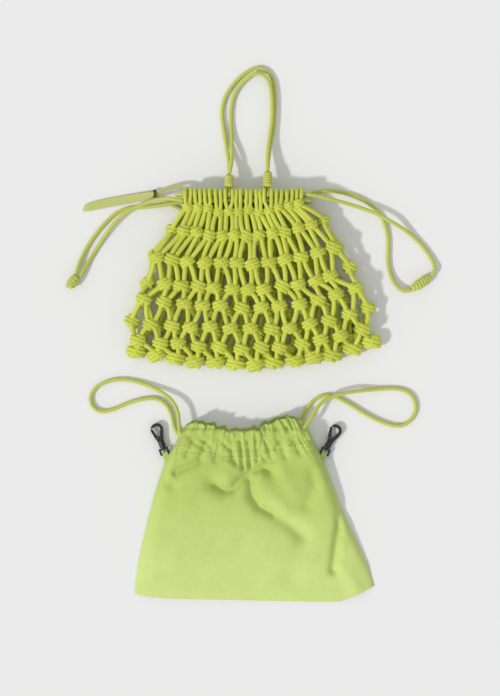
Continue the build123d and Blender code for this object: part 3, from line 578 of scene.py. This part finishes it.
@dataclass
class KnottedNet:
    """Two layers of knotted cord, joined at the sides and along the bottom."""

    rows: tuple = (
        (200.0, 15.0, 63.0, 5.0, 8.0, 22.3), (172.0, 19.0, 86.0, 8.0, 17.0, 22.3),
        (140.0, 17.0, 102.0, 9.0, 20.0, 22.3), (111.0, 20.0, 114.0, 8.0, 24.0, 22.3),
        (90.5, 23.0, 121.0, 8.0, 21.0, 21.5), (66.5, 23.0, 135.0, 8.0, 23.0, 20.5),
        (44.5, 23.0, 127.0, 10.0, 22.0, 18.5), (26.5, 27.0, 135.0, 14.0, 23.0, 9.0))
    odd_count: int = 12             # knots in rows 1, 3, 5 and 7; the others have one more
    leg_offset: float = 2.9
    strand: float = 4.5             # cord pressed in a knot
    turns: float = 3.0              # of cord in a knot
    seed: int = 11

    def knots(self, index: int, front: bool) -> list[Vector]:
        """Centres of one row's knots in one layer, in millimetres, with a little unevenness."""
        y, centre_x, half_width, left_rise, right_rise, front_z = self.rows[index]
        last = len(self.rows) - 1
        count = self.odd_count + index % 2
        chance = random.Random(self.seed * 100 + index * 2 + front)
        shared = random.Random(self.seed * 100 + index * 2)
        layer_z = front_z if front or index == last else BACK_Z
        places = []
        for i in range(count):
            across = 2 * i / (count - 1) - 1
            rise = (left_rise if across < 0 else right_rise) * across ** 2
            at_side = index % 2 and i in (0, count - 1)
            source = shared if at_side or index == last else chance
            amount = 0.6 if index == 0 else 1.7
            move_x, move_y = source.uniform(-amount, amount), source.uniform(-amount, amount)
            z = (front_z + BACK_Z) / 2 if at_side and index != last else layer_z
            if index == 0:
                move_y += source.uniform(-2.2, 2.2)
                if front:
                    z += 0.4 * rise
            if not front and index not in (0, last):
                inner = 1 - across ** 6
                move_x += (5.2 if index < 4 else 7.4) * inner
                move_y -= 5.5 * inner
            places.append(Vector((centre_x + across * half_width + move_x, y + rise + move_y, z)))
        return places

    def half_width(self, index: int) -> float:
        """Half of the width of one row's knots."""
        spacing = 2 * self.rows[index][2] / (self.odd_count + index % 2 - 1)
        return min(12.4 if index == len(self.rows) - 1 else 10.0, spacing / 2 + 1.3)

    def size(self, index: int) -> tuple[float, float, float]:
        """Strand, height up the bag and half depth of one row's knots."""
        if index == 0:
            return self.strand - 0.7, 9.0, 6.1
        if index == len(self.rows) - 1:
            return self.strand + 0.6, 12.4, 7.8
        return self.strand, 11.2, 6.1

    def tie(self, tubes: Tubes, centre: Vector, index: int, chance: random.Random) -> None:
        """Wind one knot: a squashed coil with one turn of cord slanting over it."""
        strand, height, half_depth = self.size(index)
        rx = self.half_width(index) - strand / 2
        rz = half_depth - strand / 2
        hand = chance.choice((-1, 1))
        tilt = radians(chance.uniform(8, 26)) * hand
        begin = chance.uniform(0, 2 * pi)
        line = []
        count = int(self.turns * 13)
        for i in range(count + 1):
            share = i / count
            angle = begin + hand * 2 * pi * self.turns * share
            pull = 0.70 + 0.30 * sin(pi * share) ** 0.7
            if share < 0.05 or share > 0.95:
                pull *= 0.5
            line.append(turned(centre, rx * pull * cos(angle), height * (0.5 - share),
                               rz * pull * sin(angle), tilt))
        tubes.add(np.array(line) * MM, strand / 2 * MM)
        shares = [k / 6 - 0.5 for k in range(7)]
        heart = [(centre.x + sin(tilt) * height * share, centre.y - cos(tilt) * height * share,
                  centre.z) for share in shares]
        tubes.add(np.array(heart) * MM, [rx * MM * f for f in (0.55, 0.85, 0.98, 1.0, 0.98, 0.85, 0.55)],
                  squash=(rz + 0.9) / rx)
        slant = -hand * radians(chance.uniform(38, 60))
        over = []
        for i in range(15):
            angle = 2 * pi * i / 15
            over.append(turned(centre, rx * 0.82 * cos(angle), 1.1 * sin(2 * angle),
                               (rz + 0.25) * sin(angle), slant))
        tubes.add(np.array(over) * MM, strand / 2 * 0.92 * MM, closed=True)

    def leg(self, tubes: Tubes, start: Vector, end: Vector, chance: random.Random, lift: float) -> None:
        """Lay one cord from a knot to a knot of the row below, with a slight bow."""
        bow = Vector((chance.uniform(-2.0, 2.0), 0, chance.uniform(0.0, 1.4) * lift))
        middle = (start + end) / 2 + bow * 2
        line = []
        for i in range(9):
            t = i / 8
            line.append(start * (1 - t) ** 2 + middle * 2 * t * (1 - t) + end * t * t)
        tubes.add([p * MM for p in line], NET_CORD / 2 * 1.08 * MM)

    def build_layer(self, front: bool, finish: Material) -> bpy.types.Object:
        """Make one layer of the net.

        Args:
            front: the layer that faces up; it holds the side knots and the bottom knots too.
            finish: its material.

        Returns:
            The layer.
        """
        tubes = Tubes(sides=8)
        chance = random.Random(self.seed + front)
        last = len(self.rows) - 1
        out = 1 if front else -1
        for index in range(last):
            knots, below = self.knots(index, front), self.knots(index + 1, front)
            for i, knot in enumerate(knots):
                at_side = index % 2 and i in (0, len(knots) - 1)
                if front or not at_side:
                    self.tie(tubes, knot, index, chance)
                left_child = i - 1 if index % 2 else i
                for child, offset in ((left_child, -self.leg_offset), (left_child + 1, self.leg_offset)):
                    if not 0 <= child < len(below):
                        continue
                    child_at_side = (index + 1) % 2 and child in (0, len(below) - 1) and index + 1 != last
                    near = Vector((0, -2, out * 2.6)) if at_side else Vector((offset, -2, 0))
                    far = Vector((0, 2, out * 2.6)) if child_at_side else Vector((-offset, 2, 0))
                    if index + 1 == last:
                        far += Vector((0, 1.5, out * 2.8))
                    self.leg(tubes, knot + near, below[child] + far, chance, 1.0 if front else 0.3)
        if front:
            for knot in self.knots(last, True):
                self.tie(tubes, knot, last, chance)
        self.top_loops(tubes, front, chance)
        side = "front" if front else "back"
        nodes = [f"net_row_{i + 1}_{side}" for i in range(last)] + [f"net_top_loops_{side}"]
        if front:
            nodes.append("net_bottom_knots")
        return register(tubes.finish(f"net_{side}_layer", finish), Body.NET, "net_cord", *nodes)

    def top_loops(self, tubes: Tubes, front: bool, chance: random.Random) -> None:
        """Turn the cords of the first row over both drawcords."""
        z = FRONT_Z if front else BACK_Z + 0.5
        radius = 2.2
        reach = (DRAWCORD / 2 + radius - 0.1) if front else 3.2
        foot_room = 4.2
        for knot in self.knots(0, front):
            for offset in (-2.7, 2.7):
                x = knot.x + offset + chance.uniform(-0.5, 0.5)
                for foot in FOOT_X:
                    if front and abs(x - foot) < foot_room:
                        x = foot + copysign(foot_room, x - foot)
                top = UPPER_DRAWCORD_Y + chance.uniform(-0.2, 1.5)
                lean = chance.uniform(-1.3, 1.3) if all(abs(x - foot) > 6 for foot in FOOT_X) else 0.0
                line = [(knot.x + offset * 0.4, knot.y - 1, z + reach * 0.5),
                        (knot.x + offset * 0.8, knot.y + 4, z + reach * 0.95),
                        (x, LOWER_DRAWCORD_Y - 1, z + reach)]
                for k in range(9):
                    angle = pi / 2 - pi * k / 8
                    line.append((x + lean * (1 - k / 8), top + reach * cos(angle),
                                 z + reach * sin(angle)))
                line += [(x, LOWER_DRAWCORD_Y - 1, z - reach),
                         (knot.x + offset * 0.4, knot.y, z - reach * 0.5)]
                tubes.add(np.array(line) * MM, radius * MM)

    def build(self, finish: Material, cord: Material) -> None:
        """Make both layers and the drawcords held in the mouth.

        Args:
            finish: material of the net cord.
            cord: material of the drawcords.
        """
        self.build_layer(True, finish)
        self.build_layer(False, finish)
        mouth = (FRONT_Z, BACK_Z)
        held_drawcord("net_drawcord_left", MOUTH_LEFT, MOUTH_RIGHT, LOWER_DRAWCORD_Y, mouth, Body.NET, cord)
        held_drawcord("net_drawcord_right", MOUTH_RIGHT, MOUTH_LEFT, UPPER_DRAWCORD_Y, mouth, Body.NET, cord)


def held_drawcord(node: str, exit_x: float, turn_x: float, y: float, heights: tuple[float, float], body: Body,
                  finish: Material) -> None:
    """Make a drawcord held in a mouth: along the front, round the far side, along the back."""
    front_z, back_z = heights
    bend = (front_z - back_z) / 2
    out = copysign(bend, turn_x - exit_x)
    line = [(exit_x + (turn_x - exit_x) * k / 40, y, front_z) for k in range(40)]
    for k in range(13):
        angle = pi / 2 - pi * k / 12
        line.append((turn_x + out * cos(angle), y, (front_z + back_z) / 2 + bend * sin(angle)))
    line += [(turn_x + (exit_x - turn_x) * k / 40, y, back_z) for k in range(1, 41)]
    tubes = Tubes(sides=12)
    tubes.add(np.array(line) * MM, DRAWCORD / 2 * MM)
    register(tubes.finish(f"{node}_cord", finish), body, "drawcord", node)


# ---------------------------------------------------------------- handle
@dataclass
class Handle:
    """Two cords from foot to foot, each foot wound with cord and looped on the drawcord."""

    strand: float = 3.7
    taper: float = 0.16             # of a wrap's radius, to its far end

    def build(self, finish: Material) -> None:
        """Make the wraps, the foot loops and the two cords.

        Args:
            finish: material of the cords.
        """
        direction = (0.0, cos(SLOPE), -sin(SLOPE))
        for side, x, length in zip(("left", "right"), FOOT_X, WRAP_LENGTH):
            turns = round(length / 3.5)
            radius = WRAP_RADIUS - self.strand / 2
            start = (x, *along_wrap(WRAP_START + self.strand / 2 - 0.4))
            tubes = Tubes(sides=10)
            span = length - self.strand + 0.8
            winding = coil(start, direction, span, span / turns,
                           lambda share: radius * (1 - self.taper * share), steps=20, lean=0.2)
            tubes.add(winding, self.strand / 2 * MM)
            core = [Vector((x, *along_wrap(WRAP_START + length * k / 6))) * MM for k in range(7)]
            tubes.add(core, radius * 0.95 * MM)
            wrap = tubes.finish(f"handle_wrap_{side}_coil", finish)
            register(wrap, Body.HANDLE, "drawcord", f"handle_wrap_{side}")
            ring = []
            grip = DRAWCORD / 2 + 1.3
            for k in range(17):
                angle = radians(35 + 290 * k / 16) - SLOPE
                ring.append((x + 0.6 * cos(pi * k / 16), UPPER_DRAWCORD_Y + grip * cos(angle),
                             FRONT_Z + grip * sin(angle)))
            ends = [(x + 0.6, *along_wrap(WRAP_START + 1, 1.2)), (x - 0.6, *along_wrap(WRAP_START + 1, -1.2))]
            loop = Tubes(sides=10)
            loop.add(np.array([ends[0], *ring, ends[1]]) * MM, 1.25 * MM)
            foot = loop.finish(f"handle_foot_{side}_loop", finish)
            register(foot, Body.HANDLE, "drawcord", f"handle_foot_{side}")
        for node in ("handle_cord_outer", "handle_cord_inner"):
            FreeCord(node, Body.HANDLE, "object").build(finish)


# ---------------------------------------------------------------- strap tag
@dataclass
class StrapTag:
    """A flat strap folded through the net's corner and tied to itself with thread."""

    width: float = 10.2
    thickness: float = 1.3
    end_skew: float = -4.6          # slant of the cut at the free end

    def build(self, finish: Material, thread: Material) -> None:
        """Make the strap and its thread.

        Args:
            finish: material of the strap.
            thread: material of the thread.
        """
        stations = [  # x, y, z of the middle, half width across the strap, turn on edge in degrees
            (-168.5, 205.2, 1.0, 1.0, 0), (-150, 209.6, 1.1, 1.0, 0), (-130, 213.3, 1.2, 1.0, 2),
            (-112, 216.2, 1.6, 0.97, 5), (-99, 218.6, 2.4, 0.86, 10), (-90, 220.6, 3.4, 0.58, 22),
            (-84, 222.6, 4.6, 0.46, 40), (-74, 226.2, 6.0, 0.46, 55), (-64, 228.9, 7.6, 0.46, 62),
            (-55, 229.2, 9.4, 0.46, 64), (-48.5, 226.6, 10.8, 0.44, 64), (-44.5, 221.5, 11.4, 0.4, 60)]
        points, faces = [], []
        for k, (x, y, z, share, edge) in enumerate(stations):
            ahead = stations[min(k + 1, len(stations) - 1)]
            behind = stations[max(k - 1, 0)]
            heading = atan2(ahead[1] - behind[1], ahead[0] - behind[0])
            skew = self.end_skew if k == 0 else 0.0
            for across in (-1, -0.5, 0, 0.5, 1):
                reach = across * share * self.width / 2
                flat = reach * cos(radians(edge))
                tall = reach * sin(radians(edge))
                points.append(((x - flat * sin(heading) - skew * across * 0.6) * MM,
                               (y + flat * cos(heading)) * MM, max(z + tall, 0.75) * MM))
        for k in range(len(stations) - 1):
            for j in range(4):
                a = k * 5 + j
                faces.append((a, a + 1, a + 6, a + 5))
        strap = mesh_object("strap_tag_blade", points, faces, finish)
        strap.modifiers.new("Subdivision", "SUBSURF").levels = 2
        strap.modifiers["Subdivision"].render_levels = 2
        skin = strap.modifiers.new("Thickness", "SOLIDIFY")
        skin.thickness = self.thickness * MM
        skin.offset = 0
        apply_modifiers(strap)
        register(strap, Body.NET, "strap", "strap_tag")
        leg = Tubes(sides=8)
        route = [(-88, 219, 4.6), (-80, 215.5, 3.4), (-70, 210, 2.6), (-60, 204.5, 2.4), (-50, 201, 3.2)]
        leg.add(smooth_line(route), 2.1 * MM, squash=0.45)
        register(leg.finish("strap_tag_second_leg", finish), Body.NET, "strap")
        turns = Tubes(sides=8)
        for shift in (0.0, 1.1, 2.0):
            ring = []
            for k in range(16):
                angle = 2 * pi * k / 16
                ring.append((-88.5 + shift + 0.9 * sin(angle), 221.2 + shift * 0.4 + 4.1 * cos(angle),
                             4.0 + 3.0 * sin(angle)))
            turns.add(np.array(ring) * MM, 0.42 * MM, closed=True)
        turns.add(np.array([(-88, 219, 6.8), (-84, 217.6, 6.2), (-80, 215.4, 4.4)]) * MM, 0.35 * MM)
        register(turns.finish("tag_thread_tie", thread), Body.NET, "thread", "tag_thread")


def apply_modifiers(piece: bpy.types.Object) -> None:
    """Apply all of a piece's modifiers, in order."""
    bpy.ops.object.select_all(action="DESELECT")
    bpy.context.view_layer.objects.active = piece
    piece.select_set(True)
    for modifier in list(piece.modifiers):
        bpy.ops.object.modifier_apply(modifier=modifier.name)


# ---------------------------------------------------------------- canvas pouch
@dataclass
class Fold:
    """A valley or a ridge in the cloth, along a line in plan."""

    line: tuple
    depth: float                    # below the cloth around it; negative for a ridge
    width: float

    def at(self, x: float, y: float) -> float:
        """How far the fold moves the cloth down at a place."""
        best = 1e9
        for (ax, ay), (bx, by) in zip(self.line, self.line[1:]):
            dx, dy = bx - ax, by - ay
            t = max(0.0, min(1.0, ((x - ax) * dx + (y - ay) * dy) / (dx * dx + dy * dy)))
            best = min(best, hypot(x - ax - t * dx, y - ay - t * dy))
        return self.depth * exp(-(best / self.width) ** 2)


def crest(angle: float) -> float:
    """A wave with round crests and narrow valleys, from -1 to 1."""
    return 2 * abs(sin(angle / 2)) ** 0.7 - 1


def band(y: float, middle: float, width: float) -> float:
    """Share from 0 to 1 of what happens in a soft band across the pouch."""
    return exp(-((y - middle) / width) ** 2)


CROWN_Y = (-247, -236, -200, -165, -120, -80, -62, -50, -34)
CROWN_HEIGHT = (2.2, 5.2, 10.0, 13.6, 17.6, 20.6, 23.0, 22.8, 20.6)
GATHER_Y, RUFFLE_Y, STITCH_Y, NECK_Y = -60.0, -43.0, -74.0, -46.5
CORD_RIDGE = 22.0                   # height of the cloth over the two cords


@dataclass
class Pouch:
    """Canvas pouch lying on its back, its mouth drawn up on two cords."""

    columns: int = 190
    rows: int = 150
    left: tuple = ((-109.8, -238.5), (-110.3, -231.4), (-105.2, -197.2), (-97.2, -161.6), (-88, -125.9),
                   (-76.5, -89.1), (-71.5, -78), (-65, -68), (-58.5, -56), (-52, -46))
    right: tuple = ((165, -229.4), (158.1, -205.3), (146.2, -180), (130.5, -146.6), (116.7, -111),
                    (104, -78.8), (99.5, -70.7), (89, -48.9), (82.5, -38.5))
    bottom: tuple = ((-109.8, -238.5), (-91.4, -241.7), (-67.3, -243.7), (-8.6, -244.8), (70.7, -246.7),
                     (122.5, -247.4), (136.3, -243.2), (165, -229.4))
    top: tuple = ((-52, -46), (-43, -39.7), (-19, -45.4), (-0.6, -51.2), (15.5, -51.2), (31.6, -48.2),
                  (45.4, -41.3), (62.7, -34.4), (82.5, -38.5))
    folds: tuple = (
        Fold(((-20, -111), (-8, -119), (2, -118), (12, -105), (24, -95), (36, -91), (47, -98)), 4.6, 8.5),
        Fold(((-17, -114), (-6, -119), (3, -117), (11, -106), (24, -97), (36, -93), (44, -96)), 3.6, 3.8),
        Fold(((22, -106), (24, -124), (32, -137), (50, -146), (66, -156), (82, -170)), 4.2, 8.0),
        Fold(((23, -108), (25, -126), (33, -138), (48, -146)), 3.0, 3.8),
        Fold(((82, -170), (80, -192), (68, -216)), 1.8, 12.0),
        Fold(((94, -100), (97, -116), (88, -134)), 3.0, 8.0),
        Fold(((-62, -98), (-48, -91), (-36, -85)), 4.0, 4.2),
        Fold(((-80, -104), (-66, -113)), 1.8, 6.0),
        Fold(((127, -142), (122, -178), (118, -210)), 5.6, 5.5),
        Fold(((134, -170), (130, -208)), 1.6, 9.0),
        Fold(((129, -208), (142, -228)), -2.0, 8.0),
        Fold(((-55, -54), (-34, -58), (-22, -68)), 2.6, 3.0), Fold(((-44, -62), (-30, -70)), 2.0, 2.6),
        Fold(((52, -70), (60, -58), (72, -56)), 2.4, 2.8), Fold(((70, -66), (84, -60)), 2.2, 2.8),
        Fold(((-8, -64), (2, -74), (6, -88)), 2.6, 2.6), Fold(((36, -62), (34, -76), (42, -86)), 2.8, 2.6),
        Fold(((11, -57), (14, -93)), 5.2, 2.7), Fold(((21, -58), (22, -90)), 4.6, 2.6),
        Fold(((29, -57), (31, -84)), 3.2, 2.6), Fold(((3, -60), (1, -84)), 2.6, 2.8),
        Fold(((-12, -60), (-17, -84)), 2.4, 3.2), Fold(((-26, -56), (-34, -82)), 2.6, 3.2),
        Fold(((-38, -54), (-50, -78)), 2.2, 3.0), Fold(((41, -56), (47, -84)), 2.6, 3.2),
        Fold(((53, -50), (63, -80)), 2.4, 3.4), Fold(((66, -47), (80, -76)), 2.4, 3.2),
        Fold(((-20, -76), (0, -80), (8, -88)), 1.8, 4.0), Fold(((40, -88), (58, -76)), 1.6, 4.0),
        Fold(((0, -103), (16, -96)), -2.0, 7.0), Fold(((44, -120), (64, -140)), -1.6, 9.0),
        Fold(((-40, -112), (-60, -150)), -1.0, 14.0), Fold(((60, -98), (72, -118)), -1.4, 9.0))

    @staticmethod
    def along(curve: tuple, share: float) -> tuple[float, float]:
        """Place at a share of the length of a plan curve."""
        steps = [dist(a, b) for a, b in zip(curve, curve[1:])]
        places = np.concatenate([[0], np.cumsum(steps)]) / sum(steps)
        return (float(np.interp(share, places, [p[0] for p in curve])),
                float(np.interp(share, places, [p[1] for p in curve])))

    def plan(self, u: float, v: float) -> tuple[float, float]:
        """Place in plan of a point of the front, u across and v up, from the shares 0 to 1."""
        low, high = self.along(self.bottom, u), self.along(self.top, u)
        left, right = self.along(self.left, v), self.along(self.right, v)
        corners = (self.left[0], self.right[0], self.left[-1], self.right[-1])
        x, y = ((1 - v) * low[k] + v * high[k] + (1 - u) * left[k] + u * right[k]
                - ((1 - u) * (1 - v) * corners[0][k] + u * (1 - v) * corners[1][k]
                   + (1 - u) * v * corners[2][k] + u * v * corners[3][k]) for k in (0, 1))
        ruffle = v ** 14
        x += 0.9 * sin(u * 83) * ruffle
        y += (1.1 * sin(u * 57 + 1) + 0.6 * sin(u * 131)) * ruffle
        return x, y

    def height(self, u: float, v: float) -> float:
        """Height of the front cloth."""
        x, y = self.plan(u, v)
        rise = float(np.interp(y, CROWN_Y, CROWN_HEIGHT))
        side = min(u, 1 - u)
        rounding = min(1.0, side / 0.085)
        body = rise * (1 - (1 - rounding) ** 2.2) ** 0.55 if rounding < 1 else rise
        gather = band(y, GATHER_Y, 15.0)
        ruffle = band(y, RUFFLE_Y, 8.0)
        warp = (1.3 * sin(u * 13 + 1) + 0.9 * sin(u * 29 + y * 0.11)
                + 0.035 * (y - GATHER_Y) * sin(u * 7 + 2))
        strength = 0.7 + 0.5 * sin(u * 11 + 2) + 0.3 * sin(u * 23)
        pleats = (crest(u * 68 + warp) + 0.5 * crest(u * 121 + 2 * warp + 0.05 * y)) * gather * strength * 1.9
        frill = (crest(u * 92 + warp) + 0.6 * crest(u * 157 + 1.3)) * ruffle * 2.1
        stitch_dip = -1.1 * band(y, STITCH_Y + 5 * sin(pi * (u - 0.1)) * 0.6, 2.2)
        neck = -2.4 * band(y, NECK_Y, 2.6)
        fold = 1.25 * sum(f.at(x, y) for f in self.folds)
        slack = 0.6 * sin(x * 0.045 + 0.8) * sin(y * 0.038)
        edge = min(1.0, side / 0.05)
        level = max(1.0, body + (pleats + frill + stitch_dip + neck + slack - fold) * edge)
        over_cords = CORD_RIDGE * min(1.0, side / 0.02) * exp(-((y - sum(HEM_CORD_Y) / 2) / 8.5) ** 6)
        return max(level, over_cords)

    def panel(self, name: str, heights: Callable[[float, float], float], finish: Material,
              shrink: float = 0.0, taller: float = 0.0) -> bpy.types.Object:
        """Make one panel as a grid over the pouch's plan.

        Args:
            name: name of the piece.
            heights: height in millimetres at (u, v).
            finish: its material.
            shrink: how far the panel stays inside the plan, in millimetres.
            taller: how far its ruffle stands past the plan at the mouth, in millimetres.

        Returns:
            The panel, one layer thick.
        """
        points, faces, uvs = [], [], []
        for j in range(self.rows + 1):
            v = j / self.rows
            for i in range(self.columns + 1):
                even = i / self.columns
                u = 0.65 * even + 0.35 * (0.5 - 0.5 * cos(pi * even))
                x, y = self.plan(u, v)
                x += shrink * (1 - 2 * u)
                y += taller * v ** 16 * sin(pi * u) ** 0.5 * (0.8 + 0.3 * sin(u * 74 + 2))
                points.append((x * MM, y * MM, heights(u, v) * MM))
        across = self.columns + 1
        for j in range(self.rows):
            for i in range(self.columns):
                corners = ((i, j), (i + 1, j), (i + 1, j + 1), (i, j + 1))
                faces.append(tuple(row * across + column for column, row in corners))
                uvs += [(column / self.columns, row / self.rows) for column, row in corners]
        return mesh_object(name, points, faces, finish, uvs)

    def build(self, canvas: Material, cord: Material,
              thread: Material) -> None:
        """Make the panels, the stitching and the cords.

        Args:
            canvas: material of the cloth.
            cord: material of the cords.
            thread: material of the stitching.
        """
        front = self.panel("pouch_front_cloth", self.height, canvas)
        back = self.panel("pouch_back_cloth", self.back_height, canvas, 0.4, 4.2)
        for piece in (front, back):
            skin = piece.modifiers.new("Thickness", "SOLIDIFY")
            skin.thickness = 0.8 * MM
            skin.offset = -1 if piece is front else 0
            apply_modifiers(piece)
        register(front, Body.POUCH, "canvas", "pouch_front_panel", "pouch_hem_front")
        register(back, Body.POUCH, "canvas", "pouch_back_panel", "pouch_hem_back")
        self.stitching(thread)
        hem = (HEM_FRONT_Z, HEM_BACK_Z)
        held_drawcord("pouch_drawcord_left", HEM_LEFT, HEM_RIGHT, HEM_CORD_Y[0], hem, Body.POUCH, cord)
        held_drawcord("pouch_drawcord_right", HEM_RIGHT, HEM_LEFT, HEM_CORD_Y[1], hem, Body.POUCH, cord)
        for node in ("pouch_loop_left", "pouch_loop_right"):
            FreeCord(node, Body.POUCH, "object").build(cord)

    def back_height(self, u: float, v: float) -> float:
        """Height of the back cloth, flat on the floor but for the gathered mouth."""
        x, y = self.plan(u, v)
        mouth = float(np.interp(y, (-95, -60, -46, -34), (0.0, 1.0, 1.4, 7.0)))
        wave = 1 + sin(u * 61 + 1.0) * 0.7 + 0.3 * sin(u * 113)
        return 0.5 + mouth * wave * min(1.0, min(u, 1 - u) / 0.05) * 0.8

    def stitching(self, thread: Material) -> None:
        """Sew the row of stitches that closes the hem over the cords."""
        tubes = Tubes(sides=6)
        count = 34
        for k in range(count):
            u = 0.06 + 0.88 * k / count
            ends = []
            for shift in (0.0, 0.0155):
                v = 0.852 - 0.022 * sin((u + shift) * 3.0)
                x, y = self.plan(u + shift, v)
                ends.append((x, y, self.height(u + shift, v) + 0.25))
            middle = [(a + b) / 2 for a, b in zip(*ends)]
            middle[2] += 0.25
            tubes.add(np.array([ends[0], middle, ends[1]]) * MM, 0.45 * MM)
        piece = tubes.finish("pouch_hem_stitches", thread)
        register(piece, Body.POUCH, "canvas")


# ---------------------------------------------------------------- snap hooks
@dataclass
class SnapHooks:
    """The two swivel snap hooks, kept as the frame has them and given their finish."""

    sides: tuple = ("left", "right")

    def dress(self, metal: Material, spring: Material,
              canvas: Material) -> None:
        """Give each node its material.

        Args:
            metal: black coating of the cast pieces.
            spring: finish of springs and pins.
            canvas: cloth of the tabs.
        """
        for side in self.sides:
            for part, finish in (("eye", metal), ("body", metal), ("gate", metal), ("gate_pin", spring),
                                 ("spring", spring), ("tab", canvas)):
                node = bpy.data.objects[f"hook_{part}_{side}"]
                node.data.materials.clear()
                node.data.materials.append(finish)


# ---------------------------------------------------------------- studio
@dataclass
class Studio:
    """Pale floor, soft light from the lower left, camera straight above."""

    middle: tuple = (0.0224, 0.0443)
    view_height: float = 0.8004
    lens: float = 100.0
    sensor: float = 36.0
    floor_shade: float = 0.847

    def build(self) -> None:
        """Make the floor, the light and the camera."""
        bpy.ops.mesh.primitive_plane_add(size=8, location=(0, 0, -0.0002))
        floor = bpy.context.active_object
        floor.name = "floor"
        paint = bpy.data.materials.new("floor_pale")
        paint.use_nodes = True
        shader = paint.node_tree.nodes["Principled BSDF"]
        set_inputs(shader, {"Base Color": (self.floor_shade,) * 3 + (1,), "Roughness": 0.95,
                            "Specular IOR Level": 0.0})
        floor.data.materials.append(paint)

        scene = bpy.context.scene
        world = bpy.data.worlds.new("studio")
        world.use_nodes = True
        set_inputs(world.node_tree.nodes["Background"], {"Color": (1, 1, 1, 1), "Strength": 0.62})
        scene.world = world
        key = bpy.data.lights.new("key", "SUN")
        key.energy = 1.75
        key.angle = radians(5)
        lamp = bpy.data.objects.new("key", key)
        lamp.rotation_euler = Vector((1.0, 0.62, -1.0)).to_track_quat("-Z", "Y").to_euler()
        scene.collection.objects.link(lamp)

        lens = bpy.data.cameras.new("camera")
        lens.lens = self.lens
        lens.sensor_width = self.sensor
        camera = bpy.data.objects.new("camera", lens)
        camera.location = (*self.middle, self.view_height * self.lens / self.sensor)
        scene.collection.objects.link(camera)
        scene.camera = camera
        scene.view_settings.view_transform = "Standard"


def main() -> None:
    """Make every piece of the bag and its surroundings."""
    Studio().build()
    drawcord = DRAWCORD_FINISH.build()
    net = NET_FINISH.build()
    canvas = CANVAS_FINISH.build()
    left = StopperKnot("net_stopper_left", (-175.5, 127.2, 6.2), angle=234.0, length=17.0,
                       turns=4.2, blunt=0.75).build(drawcord)
    right = StopperKnot("net_stopper_right", (207.6, 111.4, 6.2), angle=34.6, length=26.0,
                        turns=6.4, blunt=0.42).build(drawcord)
    FreeCord("net_tail_left_upper", Body.NET, "knot", (left,)).build(drawcord)
    FreeCord("net_tail_left_lower", Body.NET, "knot").build(drawcord)
    FreeCord("net_tail_right_upper", Body.NET, "knot").build(drawcord)
    FreeCord("net_tail_right_lower", Body.NET, "knot", (right,)).build(drawcord)
    Handle().build(drawcord)
    KnottedNet().build(net, drawcord)
    StrapTag().build(STRAP_FINISH.build(), THREAD_FINISH.build())
    Pouch().build(canvas, drawcord, STITCH_FINISH.build())
    SnapHooks().dress(METAL_FINISH.build(), SPRING_FINISH.build(), canvas)


if __name__ == "__main__":
    main()
